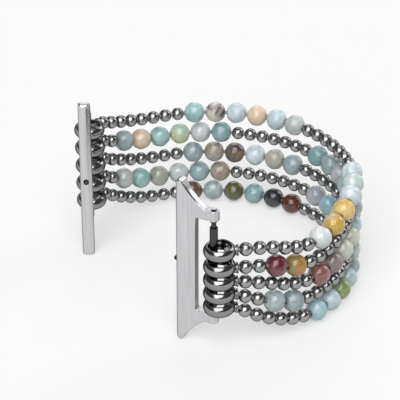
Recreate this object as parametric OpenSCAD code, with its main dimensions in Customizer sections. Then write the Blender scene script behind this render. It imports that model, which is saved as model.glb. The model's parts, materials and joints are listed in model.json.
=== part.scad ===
// Stretch watch band: five strands of polished metal beads and stone beads on elastic cord.
// Each strand ends in a bail ring at both ends. The rings hang on the spring bars of two metal
// adapters, whose lugs slide into the slots of a watch case.
// The band stands on its side edge. +Z runs along the spring bars, +Y from the near adapter to the
// far one, +X towards the back of the loop. The origin is below the middle of the whole, on the floor.

/* [Adapters] */
// Length of the slide-in lug, from end to end
lug_length = 31.5; // [28:0.5:36]
// Thickness of the lug's rounded slot edge
lug_thickness = 2.3; // [2:0.05:2.8]
// Distance from the spring bar's axis to the centre of the rounded slot edge
lug_reach = 5.7; // [5.2:0.1:6.6]
// Thickness of the adapter between the slot edge and the eyes
neck_thickness = 1.5; // [1.3:0.05:1.8]
// Width over the two arms, along the spring bar
arm_span = 22; // [20:0.5:24]
// Thickness of each arm along the spring bar
arm_height = 1.8; // [1.5:0.05:2.4]
// Outer diameter of the eye that holds the spring bar's tip
eye_diameter = 1.95; // [1.8:0.05:2.4]
// Distance from the spring bar's axis to the edge of the window between the arms
window_reach = 3.1; // [2.9:0.05:3.6]
// Radius of the window's inner corners
window_radius = 0.6; // [0.3:0.05:0.9]
// Width of the lug's ends, measured along the slot edge's depth
horn_width = 1.3; // [1.1:0.05:1.5]
// Radius of the lug's outer corners
horn_round = 0.8; // [0.5:0.05:0.9]
// Distance from the eye to the foot of the hollow curve that runs out to the lug's end
horn_foot = 0.2; // [0.1:0.05:0.4]
// Half of the angle that this hollow curve turns through
horn_bend = 15; // [10:1:20]
// How much the neck's faces lie inside the round of the eye and of the slot edge
neck_tuck = 0.05; // [0.03:0.01:0.08]
// Angle between the chord from bar to bar and the direction in which a lug points outwards
lug_angle = 32; // [20:1:45]

/* [Lug catch] */
// Diameter of the sprung catch pin that shows on the slot edge
catch_diameter = 0.9; // [0.8:0.05:1]
// How far the catch pin stands out of the slot edge
catch_height = 0.5; // [0.3:0.05:0.7]
// Diameter of the catch pin's shoulder inside the lug
catch_shoulder = 1.25; // [1.2:0.05:1.3]
// Length of that shoulder
catch_shoulder_length = 0.5; // [0.4:0.05:0.6]
// Depth of the bore behind the catch pin's shoulder
catch_depth = 2.0; // [1.6:0.1:2.2]

/* [Spring bars] */
// Outer diameter of the spring bar's tube
bar_diameter = 1.4; // [1.3:0.05:1.5]
// Diameter of the bore in the tube
bar_bore = 1.02; // [1:0.01:1.05]
// Diameter of the sliding tips
tip_diameter = 0.84; // [0.8:0.01:0.86]
// How far a tip reaches into its eye
tip_engagement = 0.9; // [0.7:0.05:1.1]
// How far a tip slides in to free the bar
tip_travel = 1.0; // [0.8:0.05:1.2]
// Diameter of the flange that a tool presses on
flange_diameter = 1.3; // [1.1:0.05:1.4]
// Thickness of that flange
flange_height = 0.25; // [0.2:0.05:0.3]
// Length of the narrow mouth that holds a tip or the catch pin in its bore
lip_length = 0.3; // [0.2:0.05:0.4]
// Length of a tip's head inside the tube
head_length = 1.0; // [0.8:0.1:1.2]
// Wire diameter of the coil springs
spring_wire = 0.16; // [0.12:0.01:0.18]
// Number of turns of the spring inside the bar
bar_spring_turns = 14; // [8:1:18]
// Number of turns of the catch spring
catch_spring_turns = 5; // [3:1:6]

/* [Bail rings] */
// Outer diameter of a bail ring
ring_outer = 5.6; // [5.3:0.1:5.8]
// Bore of a bail ring
ring_bore = 4.0; // [3.8:0.05:4.1]
// Height of a bail ring
ring_height = 2.35; // [2:0.05:2.4]
// Distance from the spring bar's axis to a ring's centre, along the strand
ring_offset = 1.0; // [0.9:0.05:1.1]
// Height step from one near ring to the next, where they lie on one another
near_ring_pitch = 2.65; // [2.6:0.05:2.8]
// Extra height of the topmost near ring above the stack
near_top_lift = 0.4; // [0.3:0.1:1]
// How far below the middle of its near ring a cord leaves, below the topmost ring
near_exit_drop = 0.45; // [0.2:0.05:0.5]
// Height step from one far ring to the next
far_ring_pitch = 3.7; // [3.6:0.05:3.8]
// Outer diameter of the collar round the cord hole
collar_outer = 2.0; // [1.8:0.05:2.1]
// How far the collar stands out of the ring
collar_length = 0.4; // [0.3:0.05:0.45]

/* [Beads] */
// Diameter of a stone bead
stone_diameter = 4.0; // [3.9:0.05:4.1]
// Diameter of a metal bead
metal_diameter = 2.4; // [2.3:0.02:2.46]
// Diameter of the cord hole through beads and rings
bead_bore = 1.0; // [0.9:0.05:1.1]
// Free length between beads along the strand
bead_gap = 0.02; // [0.01:0.01:0.05]
// Distance from the spring bar's axis to the first bead, along the strand
strand_start = 4.25; // [4.2:0.05:4.5]

/* [Loop] */
// Half of the angle that the strands turn through between the bars
loop_half_angle = 122.5; // [116:0.5:128]
// Height step between strands near the near adapter
near_lane_pitch = 3.6; // [3.55:0.01:3.7]
// Distance along the strands over which they spread from the rings to the near lanes
spread_run = 8; // [7:0.2:9]
// Distance along the strands at which the near lanes start to widen
widen_start = 18; // [17:0.2:20]
// Distance along the strands at which the lanes have their full height step
widen_end = 36; // [34:0.2:36.6]
// Height step between strands round the rest of the loop
lane_pitch = 4.3; // [4.2:0.01:4.35]
// Distance along the strands at which the lowest one has come down to the floor
run_in = 20; // [19.5:0.5:22]
// Distance along the strands from the near bar to the place where they bend against the back
near_flex = 19.2; // [19:0.1:19.4]
// Distance along the strands from the far bar to the place where they bend against the back
far_flex = 21.4; // [21.2:0.1:21.6]

/* [Elastic cords] */
// Diameter of the elastic cord
cord_diameter = 0.7; // [0.6:0.02:0.8]
// Diameter of the knot inside each ring
knot_diameter = 1.3; // [1.2:0.05:1.4]
// Distance from the spring bar's axis to the middle of the knot
knot_place = 2.15; // [2.1:0.01:2.2]
// Length of cord between two of the cross-sections that shape it
cord_step = 1.2; // [1.1:0.1:1.6]

/* [Clearances] */
// Radial clearance of a pin that turns or slides in its hole
running_gap = 0.04; // [0.02:0.01:0.06]
// Radial clearance of a tip's head in the bore of the tube
head_gap = 0.03; // [0.02:0.01:0.04]
// Radial clearance of a coil spring in its bore
spring_gap = 0.06; // [0.04:0.01:0.08]
// Gap between faces that rest against each other
face_gap = 0.1; // [0.06:0.01:0.15]
// Gap between the lowest ring and the arm below it
ring_seat_gap = 0.1; // [0.06:0.01:0.15]

/* [Hidden] */
$fn = 48;
METAL = 0;
STONE = 1;
STRANDS = 5;
steel = [0.78, 0.79, 0.8];
polished = [0.86, 0.87, 0.88];
stone_tints = [[0.55, 0.76, 0.74], [0.93, 0.88, 0.72], [0.8, 0.6, 0.5], [0.6, 0.65, 0.5], [0.7, 0.8, 0.86]];

// Runs of beads, from the near ring: [kind of bead, how many]
odd_runs = [[METAL, 6], [STONE, 6], [METAL, 7], [STONE, 6], [METAL, 8]];
even_runs = [[METAL, 2], [STONE, 2], [METAL, 7], [STONE, 6], [METAL, 7], [STONE, 6], [METAL, 2]];
function runs(strand) = strand % 2 == 1 ? odd_runs : even_runs;
function kinds(strand) = [for (run = runs(strand)) for (i = [1:run[1]]) run[0]];
function width(kind) = kind == STONE ? stone_diameter : metal_diameter;
function total(widths, i = 0) = i >= len(widths) ? 0 : widths[i] + total(widths, i + 1);
function widths(strand) = [for (kind = kinds(strand)) width(kind)];

// The loop is as long as the strand with the longest row of beads
beads_length = max([for (strand = [1:STRANDS]) total(widths(strand)) + len(kinds(strand)) * bead_gap]);
strand_length = 2 * strand_start + beads_length;
loop_radius = strand_length / (2 * loop_half_angle * PI / 180);

// Heights
middle = lug_length / 2;
arm_clear = arm_span / 2 - arm_height;
lowest_ring = middle - arm_clear + ring_seat_gap + ring_height / 2;
function near_ring_z(strand) =
    lowest_ring + (STRANDS - strand) * near_ring_pitch + (strand == 1 ? near_top_lift : 0);
function far_ring_z(strand) = lowest_ring + (STRANDS - strand) * far_ring_pitch;
exit_place = ring_offset + ring_outer / 2 + collar_length;
function exit_drop(strand) = strand == 1 ? 0 : near_exit_drop;
function near_exit_z(strand) = near_ring_z(strand) - exit_drop(strand);
function ease(t) = let(u = min(max(t, 0), 1)) u * u * (3 - 2 * u);
function mix(a, b, t) = a + (b - a) * t;
function lane_step(s) =
    mix(near_lane_pitch, lane_pitch, ease((s - widen_start) / (widen_end - widen_start)));

// Share of a change that a strand has come through since its ring, fastest where it leaves the ring
function settled(s, run) = let(u = min(max((s - exit_place) / run, 0), 1)) u * (2 - u);
function run_down(s) = settled(s, run_in - exit_place);

// A strand's height is the lowest strand's height and its own rise above that one
function near_z(strand, s) =
    mix(near_exit_z(STRANDS), stone_diameter / 2, run_down(s))
    + mix(near_exit_z(strand) - near_exit_z(STRANDS), (STRANDS - strand) * lane_step(s),
          settled(s, spread_run));
function far_z(strand, s) =
    mix(far_ring_z(strand), stone_diameter / 2 + (STRANDS - strand) * lane_pitch,
        run_down(strand_length - s));
function strand_z(strand, s) = s < strand_length / 2 ? near_z(strand, s) : far_z(strand, s);

// Length of cord against distance in plan, because a strand that runs downhill is longer
MEASURES = 200;
function rise(strand, i) =
    strand_z(strand, strand_length * (i + 1) / MEASURES) - strand_z(strand, strand_length * i / MEASURES);
function measured(strand) = [
    for (i = 0, length = 0; i <= MEASURES;
         length = length + norm([strand_length / MEASURES, rise(strand, i)]), i = i + 1)
        [length, strand_length * i / MEASURES]
];
cord_tables = [for (strand = [1:STRANDS]) measured(strand)];
plan_tables = [for (table = cord_tables) [for (row = table) [row[1], row[0]]]];

// The end beads stand as far from the bars in plan on every strand, and the others fill the cord
// between them, so those of a longer strand lie a little further apart
end_bead = strand_start + metal_diameter / 2;
function first_bead(strand) = lookup(end_bead, plan_tables[strand - 1]);
function last_bead(strand) = lookup(strand_length - end_bead, plan_tables[strand - 1]);
function slack(strand) =
    (last_bead(strand) - first_bead(strand) + metal_diameter - total(widths(strand)))
    / (len(kinds(strand)) - 1);
function step_sums(steps, i = 0, sum = 0) =
    i >= len(steps) ? [] : concat([sum + steps[i] / 2], step_sums(steps, i + 1, sum + steps[i]));
function bead_places(strand) = [
    for (length = step_sums([for (w = widths(strand)) w + slack(strand)], 0,
                            first_bead(strand) - (metal_diameter + slack(strand)) / 2))
        lookup(length, cord_tables[strand - 1])
];

// Plan of the loop: an arc about its own centre, moved so that the whole lies round the origin
function turn(s) = -loop_half_angle + 2 * loop_half_angle * s / strand_length;
bar_x = loop_radius * cos(loop_half_angle);
bar_y = loop_radius * sin(loop_half_angle);
lug_tip = lug_reach + lug_thickness / 2;
left_edge = bar_x - lug_reach * sin(lug_angle) - lug_thickness / 2;
right_edge = loop_radius + stone_diameter / 2;
centre_x = -(left_edge + right_edge) / 2;
function path(strand, s) = [
    centre_x + loop_radius * cos(turn(s)),
    loop_radius * sin(turn(s)),
    strand_z(strand, s)
];
SLOPE_REACH = 0.1;
function slope(strand, s) =
    atan2(strand_z(strand, s + SLOPE_REACH) - strand_z(strand, s - SLOPE_REACH), 2 * SLOPE_REACH);

// Parts of the loop that move as one, as stretches of the strands
mid_cut = strand_length / 2 + metal_diameter / 4;
far_cut = strand_length - far_flex;
near_part = [0, near_flex];
back_near_part = [near_flex, mid_cut];
back_far_part = [mid_cut, far_cut];
far_part = [far_cut, strand_length];

// Lengths inside the spring bar, from its middle
tip_end = arm_clear + tip_engagement;
flange_top = arm_clear - face_gap;
tube_half = flange_top - flange_height - tip_travel - face_gap;
head_top = tube_half - lip_length - face_gap / 2;
head_bottom = head_top - head_length;
head_diameter = bar_bore - 2 * head_gap;

// Places its children on the near bar's axis, with local +X along the lug
module at_near_bar() {
    translate([centre_x + bar_x, -bar_y, middle]) rotate([0, 0, 90 + lug_angle]) children();
}

// Places its children on the far bar's axis, with local +X along the lug
module at_far_bar() {
    translate([centre_x + bar_x, bar_y, middle]) rotate([0, 0, -90 - lug_angle]) children();
}

// Section of an adapter across the bars: eye, neck and rounded slot edge
module adapter_blank() {
    cylinder(d = eye_diameter, h = lug_length, center = true);
    translate([lug_reach, 0, 0]) cylinder(d = lug_thickness, h = lug_length, center = true);
    linear_extrude(lug_length, center = true) polygon([
        [0, eye_diameter / 2 - neck_tuck], [window_reach, neck_thickness / 2],
        [lug_reach, lug_thickness / 2 - neck_tuck], [lug_reach, -lug_thickness / 2 + neck_tuck],
        [window_reach, -neck_thickness / 2], [0, -eye_diameter / 2 + neck_tuck]
    ]);
}

// What is cut from above an arm, so that it sweeps out in a hollow curve to the end of the lug
module horn_cut() {
    foot = [eye_diameter / 2 + horn_foot, arm_span / 2];
    crest = [lug_tip - horn_width, lug_length / 2];
    run = crest - foot;
    sweep = norm(run) / (2 * sin(horn_bend));
    hub = (foot + crest) / 2 + [-run[1], run[0]] / norm(run) * sweep * cos(horn_bend);
    intersection() {
        translate([hub[0], 0, hub[1]]) rotate([90, 0, 0])
            cylinder(r = sweep, h = 2 * lug_thickness, center = true, $fn = 96);
        translate([-lug_length, -lug_thickness, foot[1]])
            cube([2 * lug_length, 2 * lug_thickness, lug_length]);
    }
}

// What is cut from a corner of the slot edge to round it
module corner_cut() {
    difference() {
        translate([lug_tip - horn_round, -lug_thickness, lug_length / 2 - horn_round])
            cube([lug_thickness, 2 * lug_thickness, lug_thickness]);
        translate([lug_tip - horn_round, 0, lug_length / 2 - horn_round]) rotate([90, 0, 0])
            cylinder(r = horn_round, h = 3 * lug_thickness, center = true);
    }
}

// Window between the arms, with rounded inner corners
module adapter_window() {
    reach = window_reach - window_radius;
    deep = 2 * lug_thickness;
    translate([-eye_diameter, -deep / 2, -arm_clear]) cube([eye_diameter + reach, deep, 2 * arm_clear]);
    translate([0, -deep / 2, -arm_clear + window_radius])
        cube([window_reach, deep, 2 * (arm_clear - window_radius)]);
    for (side = [-1, 1])
        translate([reach, 0, side * (arm_clear - window_radius)]) rotate([90, 0, 0])
            cylinder(r = window_radius, h = deep, center = true);
}

module adapter() {
    shoulder_place = lug_tip - lip_length;
    difference() {
        adapter_blank();
        adapter_window();
        horn_cut();
        mirror([0, 0, 1]) horn_cut();
        corner_cut();
        mirror([0, 0, 1]) corner_cut();
        cylinder(d = tip_diameter + 2 * running_gap, h = 2 * lug_length, center = true);
        translate([shoulder_place, 0, 0]) rotate([0, -90, 0])
            cylinder(d = catch_shoulder + 2 * running_gap, h = catch_shoulder_length + catch_depth);
        translate([shoulder_place - face_gap, 0, 0]) rotate([0, 90, 0])
            cylinder(d = catch_diameter + 2 * running_gap, h = lug_thickness);
    }
}

// Sprung catch: a round-ended pin with a shoulder that stops behind the slot edge
module catch_pin() {
    shoulder_place = lug_tip - lip_length - running_gap;
    nose = catch_diameter / 2;
    straight = catch_shoulder_length + lip_length + running_gap + catch_height - nose;
    translate([shoulder_place - catch_shoulder_length, 0, 0]) rotate([0, 90, 0]) {
        cylinder(d = catch_shoulder, h = catch_shoulder_length);
        cylinder(d = catch_diameter, h = straight);
        translate([0, 0, straight]) sphere(r = nose);
    }
}

module catch_spring() {
    front = lug_tip - lip_length - running_gap - catch_shoulder_length - face_gap / 2;
    back = lug_tip - lip_length - catch_shoulder_length - catch_depth + face_gap / 2;
    translate([back, 0, 0]) rotate([0, 90, 0])
        coil(catch_shoulder + 2 * running_gap - 2 * spring_gap, spring_wire, front - back, catch_spring_turns);
}

// Coil spring along +Z from 0 to its length, as one tube swept along a helix
module coil(outer, wire, length, turns) {
    sides = 5;
    per_turn = 8;
    steps = turns * per_turn;
    r = (outer - wire) / 2;
    rise = length - wire;
    points = [
        for (i = [0:steps]) let(a = 360 * i / per_turn, z = wire / 2 + rise * i / steps)
            for (j = [0:sides - 1]) let(b = 360 * j / sides)
                [(r + wire / 2 * cos(b)) * cos(a), (r + wire / 2 * cos(b)) * sin(a), z + wire / 2 * sin(b)]
    ];
    tube(points, steps + 1, sides);
}

// Closed skin round rings of points that follow one another
module tube(points, rings, sides) {
    start = [[for (j = [0:sides - 1]) j]];
    finish = [[for (j = [sides - 1:-1:0]) (rings - 1) * sides + j]];
    walls = [
        for (i = [0:rings - 2]) for (j = [0:sides - 1])
            let(a = i * sides + j, b = i * sides + (j + 1) % sides)
                for (face = [[a, a + sides, b], [b, a + sides, b + sides]]) face
    ];
    polyhedron(points, concat(start, walls, finish), convexity = 6);
}

module bar_tube() {
    difference() {
        cylinder(d = bar_diameter, h = 2 * tube_half, center = true);
        cylinder(d = bar_bore, h = 2 * (tube_half - lip_length), center = true);
        cylinder(d = tip_diameter + 2 * running_gap, h = 4 * tube_half, center = true);
    }
}

// Sliding tip with the flange outside the tube and the head inside it
module bar_tip() {
    translate([0, 0, head_bottom]) cylinder(d = head_diameter, h = head_length);
    translate([0, 0, head_bottom]) cylinder(d = tip_diameter, h = tip_end - head_bottom);
    translate([0, 0, flange_top - flange_height]) cylinder(d = flange_diameter, h = flange_height);
}

module bar_spring() {
    half = head_bottom - face_gap / 2;
    translate([0, 0, -half]) coil(bar_bore - 2 * spring_gap, spring_wire, 2 * half, bar_spring_turns);
}

// Bail ring with a half-round outside, and the collar that the cord leaves through, along +X
module bail_ring(exit_drop) {
    wall = (ring_outer - ring_bore) / 2;
    round = (pow(wall, 2) + pow(ring_height / 2, 2)) / (2 * wall);
    difference() {
        union() {
            rotate_extrude() translate([ring_bore / 2, 0]) intersection() {
                translate([0, -ring_height / 2]) square([wall, ring_height]);
                translate([wall - round, 0]) circle(r = round);
            }
            translate([ring_bore / 2 + wall / 2, 0, -exit_drop]) rotate([0, 90, 0])
                cylinder(d = collar_outer, h = wall / 2 + collar_length);
        }
        cylinder(d = ring_bore, h = 2 * ring_height, center = true);
        translate([0, 0, -exit_drop]) rotate([0, 90, 0]) cylinder(d = bead_bore, h = ring_outer);
    }
}

// Ring of a strand on the near bar, turned so that its collar points along the strand
module near_ring(strand) {
    color(polished)
        translate([centre_x + bar_x, -bar_y, near_ring_z(strand)])
            rotate([0, 0, turn(strand_start / 2) + 90]) translate([ring_offset, 0, 0])
                bail_ring(exit_drop(strand));
}

module far_ring(strand) {
    color(polished)
        translate([centre_x + bar_x, bar_y, far_ring_z(strand)])
            rotate([0, 0, turn(strand_length - strand_start / 2) - 90])
                translate([ring_offset, 0, 0]) bail_ring(0);
}

module bead(diameter) {
    difference() {
        sphere(d = diameter);
        cylinder(d = bead_bore, h = 2 * diameter, center = true);
    }
}

// Beads of one kind on the given strands, within one stretch of the loop
module beads(strands, kind, part) {
    for (strand = strands) {
        places = bead_places(strand);
        sorts = kinds(strand);
        for (i = [0:len(places) - 1])
            if (sorts[i] == kind && places[i] > part[0] && places[i] < part[1])
                translate(path(strand, places[i]))
                    rotate([0, 0, turn(places[i]) + 90])
                        rotate([0, 90 - slope(strand, places[i]), 0])
                            bead(width(kind));
    }
}

module metal_beads(strands, part) color(polished) beads(strands, METAL, part);
module stones(strands, part) color(stone_tints[strands[0] - 1]) beads(strands, STONE, part);

// Elastic cord of one strand, from knot to knot, through rings and beads
module cord(strand) {
    sides = 6;
    first = knot_place - knot_diameter / 2;
    knot_steps = 6;
    knot_length = knot_diameter / knot_steps;
    body_steps = round((strand_length - 2 * exit_place) / cord_step);
    stations = concat(
        [for (i = [0:knot_steps]) first + i * knot_length],
        [for (i = [0:body_steps]) mix(exit_place, strand_length - exit_place, i / body_steps)],
        [for (i = [knot_steps:-1:0]) strand_length - first - i * knot_length]
    );
    function knot_radius(d) = sqrt(max(pow(knot_diameter / 2, 2) - pow(d, 2), 0));
    function radius(s) = max(
        cord_diameter / 2 * ((s < knot_place || s > strand_length - knot_place) ? 0.5 : 1),
        knot_radius(s - knot_place),
        knot_radius(strand_length - knot_place - s)
    );
    points = [
        for (s = stations) let(p = path(strand, s), a = turn(s), lean = slope(strand, s), r = radius(s))
            for (j = [0:sides - 1]) let(b = 360 * j / sides, side = r * cos(b), up = r * sin(b))
                p + [
                    side * cos(a) + up * sin(lean) * sin(a),
                    side * sin(a) - up * sin(lean) * cos(a),
                    up * cos(lean)
                ]
    ];
    color([0.9, 0.9, 0.88]) tube(points, len(stations), sides);
}

color(steel) at_near_bar() adapter();  // near_adapter
color(steel) at_near_bar() bar_tube();  // near_bar_tube
color(steel) at_near_bar() bar_spring();  // near_bar_spring
color(steel) at_near_bar() bar_tip();  // near_upper_tip
color(steel) at_near_bar() mirror([0, 0, 1]) bar_tip();  // near_lower_tip
color(steel) at_near_bar() catch_pin();  // near_catch_pin
color(steel) at_near_bar() catch_spring();  // near_catch_spring
color(steel) at_far_bar() adapter();  // far_adapter
color(steel) at_far_bar() bar_tube();  // far_bar_tube
color(steel) at_far_bar() bar_spring();  // far_bar_spring
color(steel) at_far_bar() bar_tip();  // far_upper_tip
color(steel) at_far_bar() mirror([0, 0, 1]) bar_tip();  // far_lower_tip
color(steel) at_far_bar() catch_pin();  // far_catch_pin
color(steel) at_far_bar() catch_spring();  // far_catch_spring
near_ring(1);  // near_ring_1
near_ring(2);  // near_ring_2
near_ring(3);  // near_ring_3
near_ring(4);  // near_ring_4
near_ring(5);  // near_ring_5
far_ring(1);  // far_ring_1
far_ring(2);  // far_ring_2
far_ring(3);  // far_ring_3
far_ring(4);  // far_ring_4
far_ring(5);  // far_ring_5
metal_beads([1], near_part);  // near_metal_beads_1
metal_beads([3], near_part);  // near_metal_beads_3
metal_beads([5], near_part);  // near_metal_beads_5
metal_beads([2, 4], near_part);  // near_metal_beads_2_4
stones([2, 4], near_part);  // near_stones_2_4
metal_beads([1], back_near_part);  // back_near_metal_beads_1
metal_beads([2], back_near_part);  // back_near_metal_beads_2
metal_beads([3], back_near_part);  // back_near_metal_beads_3
metal_beads([4], back_near_part);  // back_near_metal_beads_4
metal_beads([5], back_near_part);  // back_near_metal_beads_5
stones([1], back_near_part);  // back_near_stones_1
stones([2], back_near_part);  // back_near_stones_2
stones([3], back_near_part);  // back_near_stones_3
stones([4], back_near_part);  // back_near_stones_4
stones([5], back_near_part);  // back_near_stones_5
metal_beads([1], back_far_part);  // back_far_metal_beads_1
metal_beads([2], back_far_part);  // back_far_metal_beads_2
metal_beads([3], back_far_part);  // back_far_metal_beads_3
metal_beads([4], back_far_part);  // back_far_metal_beads_4
metal_beads([5], back_far_part);  // back_far_metal_beads_5
stones([1], back_far_part);  // back_far_stones_1
stones([2], back_far_part);  // back_far_stones_2
stones([3], back_far_part);  // back_far_stones_3
stones([4], back_far_part);  // back_far_stones_4
stones([5], back_far_part);  // back_far_stones_5
metal_beads([1], far_part);  // far_metal_beads_1
metal_beads([3], far_part);  // far_metal_beads_3
metal_beads([5], far_part);  // far_metal_beads_5
metal_beads([2, 4], far_part);  // far_metal_beads_2_4
stones([2, 4], far_part);  // far_stones_2_4
cord(1);  // cord_1
cord(2);  // cord_2
cord(3);  // cord_3
cord(4);  // cord_4
cord(5);  // cord_5
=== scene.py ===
"""Looks of a stretch watch band: five strands of steel and stone beads on elastic cord.

Each strand ends in a bail ring at both ends, the rings hang on two spring bars, and the bars sit
in two slide-in lug adapters. Sizes are in millimetres in the classes, in metres in the meshes.
"""

import json
import logging
import math
import re
from collections.abc import Callable
from dataclasses import dataclass, field
from enum import Enum
from functools import partial
from typing import Any

import bmesh
import bpy
import numpy as np
from bpy.types import Material, Mesh, Node, NodeSocket, NodeTree, Object
from mathutils import Matrix, Vector


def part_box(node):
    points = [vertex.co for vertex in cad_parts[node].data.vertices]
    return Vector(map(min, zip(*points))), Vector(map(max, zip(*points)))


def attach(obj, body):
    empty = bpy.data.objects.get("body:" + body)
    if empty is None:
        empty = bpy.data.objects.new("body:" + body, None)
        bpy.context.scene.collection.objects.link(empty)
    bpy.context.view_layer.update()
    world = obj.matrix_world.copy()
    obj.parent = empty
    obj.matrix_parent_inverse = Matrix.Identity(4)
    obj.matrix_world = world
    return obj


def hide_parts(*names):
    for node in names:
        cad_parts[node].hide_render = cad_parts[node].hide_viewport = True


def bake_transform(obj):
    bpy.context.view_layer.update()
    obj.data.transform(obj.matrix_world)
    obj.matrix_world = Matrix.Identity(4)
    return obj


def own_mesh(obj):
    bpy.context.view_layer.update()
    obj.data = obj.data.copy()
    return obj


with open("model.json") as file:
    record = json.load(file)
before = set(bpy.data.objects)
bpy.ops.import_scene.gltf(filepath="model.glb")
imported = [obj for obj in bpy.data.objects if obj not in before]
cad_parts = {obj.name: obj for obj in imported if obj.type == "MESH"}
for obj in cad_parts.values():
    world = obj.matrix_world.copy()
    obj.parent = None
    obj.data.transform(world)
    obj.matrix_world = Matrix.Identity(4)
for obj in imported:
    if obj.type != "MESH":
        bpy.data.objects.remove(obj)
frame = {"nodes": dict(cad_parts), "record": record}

Pair = tuple[float, float]
Triple = tuple[float, float, float]
Inputs = dict[str | int, Any]  # name or number of a node's input, and what feeds it
Adder = Callable[..., NodeSocket]  # add_node for one tree
LOG = logging.getLogger("band")
BODIES: dict[str, str] = {
    node: body for body, nodes in frame["record"]["behaviour"]["bodies"].items() for node in nodes}
MM = 0.001  # metres
WELD = 2e-7  # metres within which two corners of a CAD node are one
LIP_STEPS = 5  # of a softened mouth in a section
RING_HEIGHT = 2.35  # of a bail ring, along the spring bar
EXIT_DROP = 0.45  # how far below a near ring's middle its cord leaves, but for the topmost


# Tools


def linear(colour: str) -> tuple[float, float, float, float]:
    """Turns an sRGB hex colour into the linear values that a socket holds.

    Args:
        colour: The colour as "#rrggbb".

    Returns:
        Red, green, blue and an alpha of 1.
    """
    shares = [int(colour[i:i + 2], 16) / 255 for i in (1, 3, 5)]
    red, green, blue = (c / 12.92 if c <= 0.04045 else ((c + 0.055) / 1.055) ** 2.4
                        for c in shares)
    return red, green, blue, 1.0


def per_mm(size: float) -> float:
    """Gives the texture scale at which a pattern's grain is that many millimetres wide."""
    return 1 / (size * MM)


def feed(node: Node, inputs: Inputs) -> None:
    """Sets a node's inputs.

    Args:
        node: The node.
        inputs: The value or the output socket that feeds each input.
    """
    for name, value in inputs.items():
        if isinstance(value, NodeSocket):
            node.id_data.links.new(value, node.inputs[name])
        else:
            node.inputs[name].default_value = value


def add_node(tree: NodeTree, kind: str, inputs: Inputs | None = None, out: int | str = 0,
             **settings: Any) -> NodeSocket | None:
    """Adds a node to a shader or geometry tree.

    Args:
        tree: The tree that gets the node.
        kind: The node's type name.
        inputs: What feeds its inputs.
        out: Number or name of the output that is wanted.
        **settings: Properties of the node itself.

    Returns:
        That output, or None where the node has none.
    """
    node = tree.nodes.new(kind)
    for name, value in settings.items():
        setattr(node, name, value)
    feed(node, inputs or {})
    return node.outputs[out] if node.outputs else None


def rows_of(items: Any, title: str, width: int, kind: type) -> np.ndarray:
    """Reads one property of a mesh's points, edges or triangles.

    Args:
        items: The points, edges or triangles.
        title: Name of the property.
        width: How many values it has.
        kind: Type of the values.

    Returns:
        A row of values for each item.
    """
    values = np.empty(len(items) * width, kind)
    items.foreach_get(title, values)
    return values.reshape(-1, width)


def set_attribute(mesh: Mesh, title: str, kind: str, values: Any) -> None:
    """Gives every point of a mesh its value of an attribute.

    Args:
        mesh: The mesh.
        title: Name of the attribute, which is new.
        kind: Its kind: FLOAT, FLOAT_VECTOR or FLOAT_COLOR.
        values: A number, a vector or a linear colour for each point.
    """
    key = {"FLOAT": "value", "FLOAT_VECTOR": "vector", "FLOAT_COLOR": "color"}[kind]
    mesh.attributes.new(title, kind, "POINT").data.foreach_set(
        key, np.asarray(values, np.float32).ravel())


def welded(mesh: Mesh) -> tuple[np.ndarray, np.ndarray]:
    """Joins the loose triangles of a CAD node's mesh, without touching that mesh.

    Args:
        mesh: The mesh of a CAD node.

    Returns:
        The corner points, and the triangles as rows of three point numbers.
    """
    corners = rows_of(mesh.vertices, "co", 3, np.float32).astype(float)
    mesh.calc_loop_triangles()
    triangles = rows_of(mesh.loop_triangles, "vertices", 3, np.int32)
    _, first, number = np.unique(np.round(corners / WELD).astype(np.int64), axis=0,
                                 return_index=True, return_inverse=True)
    return corners[first], number.reshape(-1)[triangles]


def loose_solids(mesh: Mesh) -> list[np.ndarray]:
    """Splits a CAD node into its separate solids.

    Args:
        mesh: The mesh of a CAD node.

    Returns:
        The corner points of each solid.
    """
    corners, triangles = welded(mesh)
    label = np.arange(len(corners))
    while True:
        lowest = label[triangles].min(axis=1)
        spread = label.copy()
        for column in range(3):
            np.minimum.at(spread, triangles[:, column], lowest)
        spread = spread[spread]
        if (spread == label).all():
            return [corners[label == name] for name in np.unique(label)]
        label = spread


def mesh_of(name: str, points: list[Any], edges: list[Any] | None = None,
            faces: list[Any] | None = None) -> Mesh:
    """Makes a mesh from plain lists.

    Args:
        name: Name of the mesh.
        points: Its points, in metres.
        edges: Pairs of point numbers.
        faces: Rows of point numbers.

    Returns:
        The mesh.
    """
    mesh = bpy.data.meshes.new(name)
    mesh.from_pydata(points, edges or [], faces or [])
    return mesh


def chain(first: int, count: int, closed: bool) -> list[tuple[int, int]]:
    """Gives the edges of a line or loop of points, by the number of its first point."""
    return [(first + i, first + (i + 1) % count) for i in range(count if closed else count - 1)]


def outline(name: str, section: list[Pair], bore: float, closed: bool = True) -> Mesh:
    """Draws a section as the line of edges that a tree turns.

    Args:
        name: Name of the mesh.
        section: Radius and height of each corner.
        bore: Radius of the circle that the section is turned round.
        closed: Whether the line is a closed loop.

    Returns:
        The line, with X outwards from the bore and Y downwards, in metres.
    """
    points = [((max(r, bore) - bore) * MM, -z * MM, 0) for r, z in section]
    return mesh_of(name, points, chain(0, len(points), closed))


def arc(middle: Pair, radius: float, start: float, end: float, steps: int) -> list[Pair]:
    """Gives the corners of an arc, from one angle to another in radians, both included."""
    return [(middle[0] + radius * math.cos(a), middle[1] + radius * math.sin(a))
            for a in np.linspace(start, end, steps)]


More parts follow.
